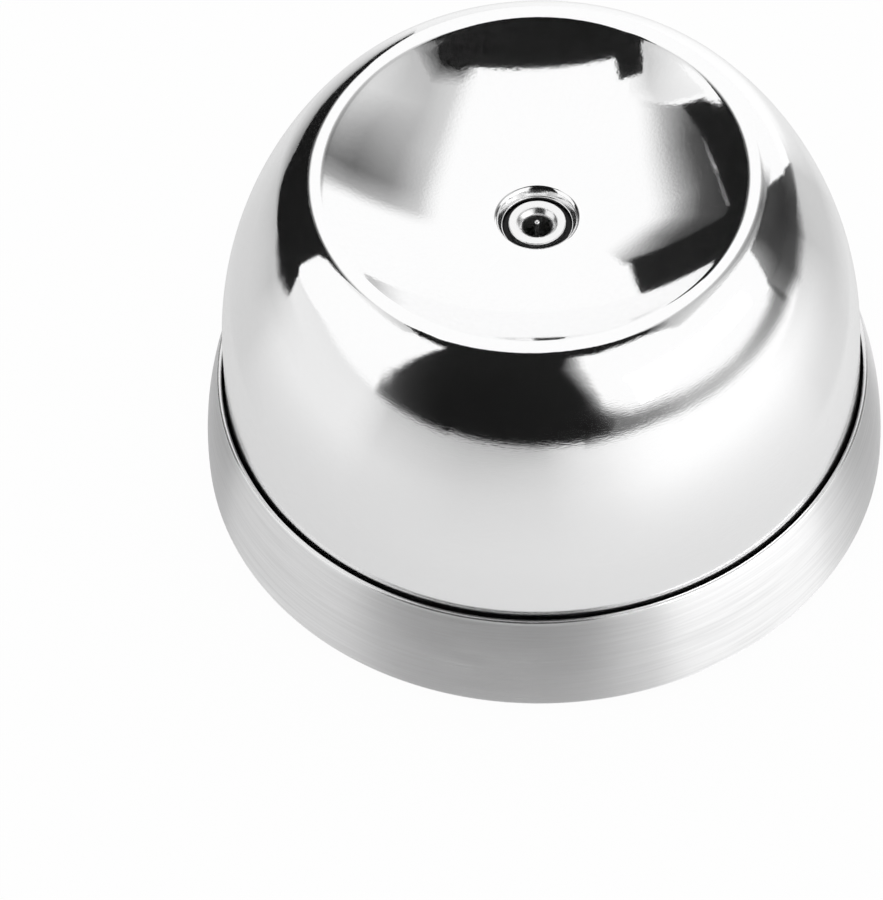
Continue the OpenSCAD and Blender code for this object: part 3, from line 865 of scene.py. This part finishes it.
# Outline of each black card in degrees across and back from overhead, after the width of its soft edge
CARDS = {
    "front_card": (0.7, [
        (-31, -2.5), (-24, -2.5), (-23.5, -9.5), (17, -9.5), (20, -8), (25, -8.5), (27, -12), (27, -15),
        (22, -19.5), (18, -21), (15.5, -25), (7, -26), (6, -40), (9, -50), (13, -60), (17, -70), (21, -80),
        *horizon(90, -75, -126), (-29, -40), (-20, -25), (-25, -22), (-32, -13),
    ]),
    "left_card": (0.8, [
        (-40, 12), (-43.5, 25), (-44.7, 40), (-44.5, 58), (-43, 61.5), (-20, 63), (-20, 88), (-22, 96),
        (-32, 88), (-48, 83), (-61.5, 73.5), (-72, 71), (-79, 66.5), (-90, 53), (-95, 42), (-99, 30),
        (-99, 22), (-98, 18), (-91, 22.5), (-80, 25), (-68, 22.5), (-56, 22), (-51, 20), (-46, 13.5),
    ]),
}
# Rows of points for each grey scrim, in the same degrees, with how black it is there
SCRIMS = {
    "front_fringe": (
        [(5, -24, 1), (5, -40, 1), (8, -50, 1), (12, -60, 1), (16, -70, 1), (20, -80, 1), (22, -86, 1)],
        [(8, -24, 0.6), (12, -40, 0.5), (16, -50, 0.45), (20, -61, 0.45), (24, -71, 0.55), (28, -78, 0.7),
         (33, -83, 0.8)],
        [(11, -24, 0), (15, -40, 0), (19, -50, 0), (22.5, -60, 0), (27, -69.5, 0), (31, -75, 0.2),
         (36, -78, 0.4)],
    ),
    "front_corner": (
        [(16, -10, 0.6), (20, -8.5, 0.85), (25, -9, 0.85), (26.5, -12, 0.85), (26, -15, 0.8)],
        [(15, -7, 0), (19, -3.5, 0.1), (28, -2.5, 0.2), (33, -11, 0.3), (30, -17, 0.2)],
    ),
    "front_edge": (
        [(15, -24, 0.85), (18, -20.5, 0.85), (22, -18.5, 0.85), (27, -14, 0.85)],
        [(17, -26, 0), (20, -23, 0), (23, -21, 0), (28.5, -16, 0)],
    ),
    "front_end": even_band(
        (28, 50, 75, 82, 87, 90.5),
        (-122, 1, 1, 1, 1, 1, 1),
        (-133, 1, 0.98, 0.96, 0.96, 0.95, 0.9),
        (-138, 1, 0.95, 0.93, 0.93, 0.92, 0.87),
        (-141.5, 0.95, 0.93, 0.9, 0.9, 0.89, 0.83),
        (-143, 0, 0.2, 0.87, 0.88, 0.87, 0.8),
        (-144.5, 0, 0, 0.4, 0.84, 0.85, 0.78),
        (-146.5, 0, 0, 0, 0.4, 0.82, 0.76),
        (-148.5, 0, 0, 0, 0, 0.6, 0.74),
        (-150.5, 0, 0, 0, 0, 0, 0.3),
    ),
    "right_card": (
        [(53, 18, 0.6), (53, 24, 0.86), (53, 42, 0.86), (62, 51, 0.9), (70, 63, 0.8)],
        [(72, 12, 0.61), (72, 24, 0.88), (73, 42, 0.91), (73, 50, 0.9), (73.5, 65.5, 0.82)],
        [sky(98, 4, 0.7), sky(101, 13, 0.84), sky(103, 24, 0.87), sky(103.5, 33, 0.86), sky(103, 42, 0.75)],
        [sky(102, 4, 0.1), sky(105, 13, 0.4), sky(107, 24, 0.45), sky(107.5, 33, 0.45), sky(109, 42, 0.3)],
    ),
    "right_strip": band(
        (-77, (76, 0.7), (83, 0.85), (89.5, 0.85), (92, 0.2)),
        (-69, (78, 0), (83, 0.75), (89.5, 0.77), (92, 0.1)),
        (-60, (82.5, 0), (86.5, 0.72), (90, 0.72), (92.2, 0)),
        (-50, (84, 0), (87.5, 0.65), (90.8, 0.65), (92.8, 0)),
        (-40, (86, 0), (89, 0.52), (92.3, 0.52), (94.8, 0)),
        (-20, (90, 0), (92.5, 0.5), (95.2, 0.5), (98.5, 0)),
        (0, (92, 0), (95, 0.66), (98.6, 0.66), (102.6, 0)),
        (6, (92, 0.3), (95, 0.7), (99.5, 0.7), (103, 0)),
    ),
    "right_shade": even_band(
        (104, 112, 128, 146),
        (-18, 0, 0, 0, 0),
        (-5, 0.16, 0.15, 0.19, 0.2),
        (14, 0.37, 0.35, 0.32, 0.2),
        (24, 0.5, 0.46, 0.36, 0.14),
        (40, 0.47, 0.43, 0.36, 0.1),
        (49, 0.12, 0.15, 0.2, 0),
        (60, 0, 0, 0, 0),
    ),
    "right_scrim": (
        [(22.5, 49, 0), (29, 49, 0), (36, 49, 0), (46, 49.5, 0), (55, 51, 0.15)],
        [(22.5, 43, 0), (28.5, 43, 0.42), (36, 43, 0.53), (46, 43, 0.57), (55, 43, 0.6)],
        [(22.5, 35, 0), (28.5, 35, 0.47), (36, 35, 0.68), (46, 35, 0.77), (55, 35, 0.7)],
        [(20, 20, 0), (26, 20, 0.41), (34, 20, 0.57), (44, 20, 0.62), (52, 20, 0.52)],
        [(17, 5, 0), (23, 5, 0.4), (29, 5, 0.48), (37, 5, 0.44), (46, 5, 0.35)],
        [(14, -6, 0), (20, -6, 0.38), (28, -6, 0.5), (34, -6, 0.48), (42, -7, 0.35)],
        [(20, -15, 0.3), (24, -15, 0.4), (29, -15, 0.5), (34, -15, 0.5), (40, -16, 0.35)],
    ),
    "left_scrim": (
        [(-27, 4, 0), (-26, 25, 0), (-26, 42, 0), (-25, 47, 0), (-21, 50, 0), (-15, 55, 0)],
        [(-34, 9, 0.5), (-34.5, 25, 0.58), (-34.5, 44, 0.55), (-33, 51, 0.58), (-27, 56, 0.64),
         (-17, 60, 0.32)],
        [(-39.5, 12, 0.7), (-40, 25, 0.82), (-40.5, 44, 0.83), (-38, 56, 0.84), (-30, 60.5, 0.83),
         (-18, 62.5, 0.5)],
        [(-41, 13, 0.8), (-43.5, 25, 0.87), (-44.6, 42, 0.88), (-44.3, 62, 0.9), (-32, 64, 0.92),
         (-19, 65, 0.7)],
    ),
    "left_panel": (
        [(-47, 12, 0.2), (-43, 3, 0.2), (-40, -5, 0.28), (-37, -12, 0.3)],
        [(-34, 9, 0.3), (-32, 2, 0.38), (-33, -5, 0.43), (-33, -12, 0.43)],
        [(-27.5, 8, 0), (-26, 2, 0.1), (-27, -4, 0.2), (-30, -12, 0.35)],
    ),
    "left_shade": band(
        (103, (99, 0.5), (104, 0.2), (118, 0), (132, 0)),
        (110, (93, 0.6), (100, 0.36), (118, 0.2), (132, 0)),
        (120, (95, 0.6), (102, 0.42), (118, 0.26), (132, 0)),
        (130, (96, 0.68), (104, 0.5), (119, 0.25), (138, 0)),
        (140, (103, 0.65), (109, 0.42), (122, 0.25), (146, 0.1)),
        (153, (104, 0.42), (109, 0.37), (124, 0.24), (146, 0.12)),
        (162, (102, 0.38), (108, 0.4), (124, 0.25), (146, 0.15)),
        (170, (99, 0.2), (108, 0.28), (126, 0.23), (146, 0.16)),
        (178, (99, 0.1), (106, 0.12), (126, 0.1), (146, 0.1)),
        (190, (99, 0), (106, 0), (126, 0), (146, 0)),
    ),
    "front_shade": even_band(
        (90, 98, 115, 150),
        (-155, 0, 0, 0, 0),
        (-142, 0.38, 0.3, 0.18, 0),
        (-115, 0.45, 0.37, 0.28, 0),
        (-90, 0.44, 0.36, 0.29, 0),
        (-72, 0.25, 0.24, 0.22, 0),
        (-50, 0, 0, 0, 0),
    ),
}


class EGGPIERCER_OT_stage(bpy.types.Operator):
    """Camera, pale floor, soft light and black cards that the mirror shows"""
    bl_idname = "egg_piercer.stage"
    bl_label = "Stage"

    def execute(self, context):
        scene = context.scene
        settings = scene.egg_piercer.stage
        scene.view_settings.view_transform = "Standard"
        self.place_camera(scene, settings)
        self.lay_floor(settings)
        self.light(scene, settings)
        felt = self.card_felt()
        for name, (soft, outline) in CARDS.items():
            self.hang_card(name, self.cut_card(soft, outline), felt, settings)
        for name, rows in SCRIMS.items():
            self.hang_card(name, self.stretch_scrim(rows), felt, settings)
        return {"FINISHED"}

    def place_camera(self, scene, settings):
        """Aims past the object, so that the base lies where the photograph has it."""
        rise = settings.elevation
        back = Vector((0.0, -math.cos(rise), math.sin(rise)))
        side = Vector((1.0, 0.0, 0.0))
        up = back.cross(side)
        right = math.cos(settings.roll) * side + math.sin(settings.roll) * up
        up = back.cross(right)
        far = settings.scale * settings.distance
        off_x = settings.base_pixel[0] - PICTURE[0] / 2
        off_y = PICTURE[1] / 2 - settings.base_pixel[1]
        aim = (-off_x * right - off_y * up - far * back).normalized()
        right = (right - right.dot(aim) * aim).normalized()
        axes = Matrix((right, right.cross(aim), -aim)).transposed()
        camera = bpy.data.cameras.new("camera")
        camera.sensor_width = SENSOR
        camera.lens = far * SENSOR / max(PICTURE)
        camera.clip_start = CLIP_NEAR
        camera.clip_end = CLIP_FAR
        holder = bpy.data.objects.new("camera", camera)
        scene.collection.objects.link(holder)
        target = Vector((0.0, 0.0, PAN_LOW.z))
        holder.matrix_world = Matrix.Translation(target + settings.distance * back) @ axes.to_4x4()
        scene.camera = holder

    def lay_floor(self, settings):
        """A wide floor, white to the camera and clear from below, with the object's shadow, and a glow for
        the metal to reflect, with painted window light on one side and painted shade beside the object.
        """
        bm = bmesh.new()
        just_under = Matrix.Translation((0.0, 0.0, -FLOOR_DROP))
        bmesh.ops.create_grid(bm, x_segments=2, y_segments=2, size=FLOOR_SIZE, matrix=just_under)
        material, tree = bare_material("floor_paper")
        place = add(tree, "ShaderNodeTexCoord").outputs["Object"]
        # Painted light: the glow that the metal sees is brighter on the side toward the window.
        heading = (math.cos(settings.window), math.sin(settings.window), 0.0)
        along = {0: place, 1: heading}
        toward = add(tree, "ShaderNodeVectorMath", along, operation="DOT_PRODUCT").outputs["Value"]
        half = settings.glow_width / 2
        glow = fit(tree, toward, settings.glow_far, settings.glow_near, -half, half, soft=True)
        # Painted shade: the glow is dimmed close to the object, standing for the shade it casts on the floor.
        away = add(tree, "ShaderNodeVectorMath", {0: place}, operation="LENGTH").outputs["Value"]
        start = PAN_HIGH.x
        kept = fit(tree, away, settings.beside, 1.0, start, start + settings.beside_width, soft=True)
        glow = math_node(tree, "MULTIPLY", glow, kept)
        ray = add(tree, "ShaderNodeLightPath").outputs
        mirrored = math_node(tree, "MAXIMUM", ray["Is Glossy Ray"], ray["Is Transmission Ray"])
        seen = math_node(tree, "MULTIPLY", ray["Is Camera Ray"], settings.floor_white)
        part = math_node(tree, "MULTIPLY_ADD", mirrored, settings.floor_mirrored, seen)
        paper = add(tree, "ShaderNodeBsdfDiffuse", {"Color": (*settings.floor, 1.0)})
        white = add(tree, "ShaderNodeEmission", {"Strength": fit(tree, ray["Is Camera Ray"], glow, 1.0)})
        above = add(tree, "ShaderNodeMixShader", {0: part, 1: paper.outputs[0], 2: white.outputs[0]})
        under = add(tree, "ShaderNodeNewGeometry").outputs["Backfacing"]
        below = math_node(tree, "MULTIPLY", under, ray["Is Camera Ray"])
        clear = add(tree, "ShaderNodeBsdfTransparent")
        mix = add(tree, "ShaderNodeMixShader", {0: below, 1: above.outputs[0], 2: clear.outputs[0]})
        add(tree, "ShaderNodeOutputMaterial", {"Surface": mix.outputs[0]})
        stage_piece("floor", plain_mesh("floor", bm), material)

    def light(self, scene, settings):
        """White all around, a broad lamp overhead, and a soft box on the right that only shows in shine."""
        world = bpy.data.worlds.new("studio")
        scene.world = world
        world.use_nodes = True
        tree = world.node_tree
        tree.nodes.clear()
        ray = add(tree, "ShaderNodeLightPath").outputs
        mirrored = math_node(tree, "MAXIMUM", ray["Is Glossy Ray"], ray["Is Transmission Ray"])
        shown = math_node(tree, "MAXIMUM", ray["Is Camera Ray"], mirrored)
        strength = fit(tree, shown, settings.fill, 1.0)
        glow = add(tree, "ShaderNodeBackground", {"Color": (1.0, 1.0, 1.0, 1.0), "Strength": strength})
        add(tree, "ShaderNodeOutputWorld", {"Surface": glow.outputs[0]})
        overhead = self.hang_lamp(scene, "overhead_lamp", settings.lamp_power, settings.lamp_size)
        overhead.location = (0.0, settings.lamp_back, settings.lamp_height)
        overhead.visible_glossy = False
        soft_box = self.hang_lamp(scene, "soft_box", settings.box_power, settings.box_width)
        soft_box.data.shape = "RECTANGLE"
        soft_box.data.size_y = settings.box_depth
        away, heading = settings.box_away, settings.box_heading
        out = math.sin(away)
        toward = Vector((out * math.cos(heading), out * math.sin(heading), math.cos(away)))
        soft_box.location = settings.card_distance * toward
        soft_box.rotation_euler = toward.to_track_quat("Z", "Y").to_euler()
        soft_box.visible_diffuse = False

    def hang_lamp(self, scene, name, watts, width):
        """An area lamp that the camera doesn't see."""
        lamp = bpy.data.lights.new(name, "AREA")
        lamp.energy = watts
        lamp.size = width
        holder = bpy.data.objects.new(name, lamp)
        holder.visible_camera = False
        scene.collection.objects.link(holder)
        return holder

    def cut_card(self, soft, outline):
        """A flat card in degrees, black up to its soft edge."""
        bm = bmesh.new()
        black = bm.verts.layers.float.new("black")
        corners = [bm.verts.new((x, y, 0.0)) for x, y in outline]
        face = bm.faces.new(corners)
        bmesh.ops.inset_region(bm, faces=[face], thickness=soft, use_boundary=True, use_even_offset=True)
        edge = set(corners)
        for vertex in bm.verts:
            vertex[black] = 0.0 if vertex in edge else 1.0
        bmesh.ops.triangulate(bm, faces=bm.faces)
        return bm

    def stretch_scrim(self, rows):
        """A flat scrim in degrees between rows of points, which carry how black it is."""
        bm = bmesh.new()
        black = bm.verts.layers.float.new("black")
        before = []
        for row in rows:
            edges = []
            last = None
            for x, y, cover in row:
                vertex = bm.verts.new((x, y, 0.0))
                vertex[black] = cover
                if last:
                    edges.append(bm.edges.new((last, vertex)))
                last = vertex
            if before:
                bmesh.ops.bridge_loops(bm, edges=before + edges)
            before = edges
        return bm

    def hang_card(self, name, bm, felt, settings):
        """Hangs a card far round the object, or lays it on the floor where it is below the horizon."""
        bmesh.ops.subdivide_edges(bm, edges=bm.edges, cuts=CARD_CUTS, use_grid_fill=True)
        for vertex in bm.verts:
            away = math.radians(math.hypot(vertex.co.x, vertex.co.y))
            heading = Vector((vertex.co.x, vertex.co.y, 0.0)).normalized()
            ray = math.sin(away) * heading + Vector((0.0, 0.0, math.cos(away)))
            lying = (MIRROR_HIGH - CARD_LIFT) / max(-ray.z, LEVEL_RAY)
            start = MIRROR_OUT * heading + Vector((0.0, 0.0, MIRROR_HIGH))
            vertex.co = start + ray * min(settings.card_distance, lying)
        card = stage_piece(name, plain_mesh(name, bm), felt)
        card.visible_camera = False
        card.visible_diffuse = False
        card.visible_shadow = False

    def card_felt(self):
        """Black felt that thins out where it is marked."""
        material, tree = bare_material("card_felt")
        marked = add(tree, "ShaderNodeAttribute", attribute_name="black").outputs["Fac"]
        cover = fit(tree, marked, 0.0, 1.0, soft=True)
        clear = add(tree, "ShaderNodeBsdfTransparent")
        felt = add(tree, "ShaderNodeEmission", {"Color": (FELT_BLACK, FELT_BLACK, FELT_BLACK, 1.0)})
        mix = add(tree, "ShaderNodeMixShader", {0: cover, 1: clear.outputs[0], 2: felt.outputs[0]})
        add(tree, "ShaderNodeOutputMaterial", {"Surface": mix.outputs[0]})
        return material


class EGGPIERCER_PT_sidebar(bpy.types.Panel):
    """Settings and pieces of the egg piercer"""
    bl_idname = "EGGPIERCER_PT_sidebar"
    bl_label = "Egg Piercer"
    bl_space_type = "VIEW_3D"
    bl_region_type = "UI"
    bl_category = "Egg Piercer"

    def draw(self, context):
        settings = context.scene.egg_piercer
        for group in (settings.dome, settings.centre, settings.base, settings.finishes, settings.stage):
            box = self.layout.box()
            for name in group.__annotations__:
                box.prop(group, name)
        for operator in OPERATORS:
            self.layout.operator(operator.bl_idname)


GROUPS = (DomeSizes, CentreSizes, BaseSizes, Finishes, StageSettings, EggPiercerSettings)
OPERATORS = (
    EGGPIERCER_OT_inner, EGGPIERCER_OT_dome, EGGPIERCER_OT_bush, EGGPIERCER_OT_needle, EGGPIERCER_OT_pan,
    EGGPIERCER_OT_foot, EGGPIERCER_OT_spring, EGGPIERCER_OT_stage,
)


def register():
    for made in (*GROUPS, *OPERATORS, EGGPIERCER_PT_sidebar):
        bpy.utils.register_class(made)
    bpy.types.Scene.egg_piercer = PointerProperty(type=EggPiercerSettings)


def unregister():
    del bpy.types.Scene.egg_piercer
    for made in reversed((*GROUPS, *OPERATORS, EGGPIERCER_PT_sidebar)):
        bpy.utils.unregister_class(made)


def main():
    register()
    bpy.ops.egg_piercer.inner()
    bpy.ops.egg_piercer.dome()
    bpy.ops.egg_piercer.bush()
    bpy.ops.egg_piercer.needle()
    bpy.ops.egg_piercer.pan()
    bpy.ops.egg_piercer.foot()
    bpy.ops.egg_piercer.spring()
    bpy.ops.egg_piercer.stage()
    bpy.context.view_layer.update()


if __name__ == "__main__":
    main()
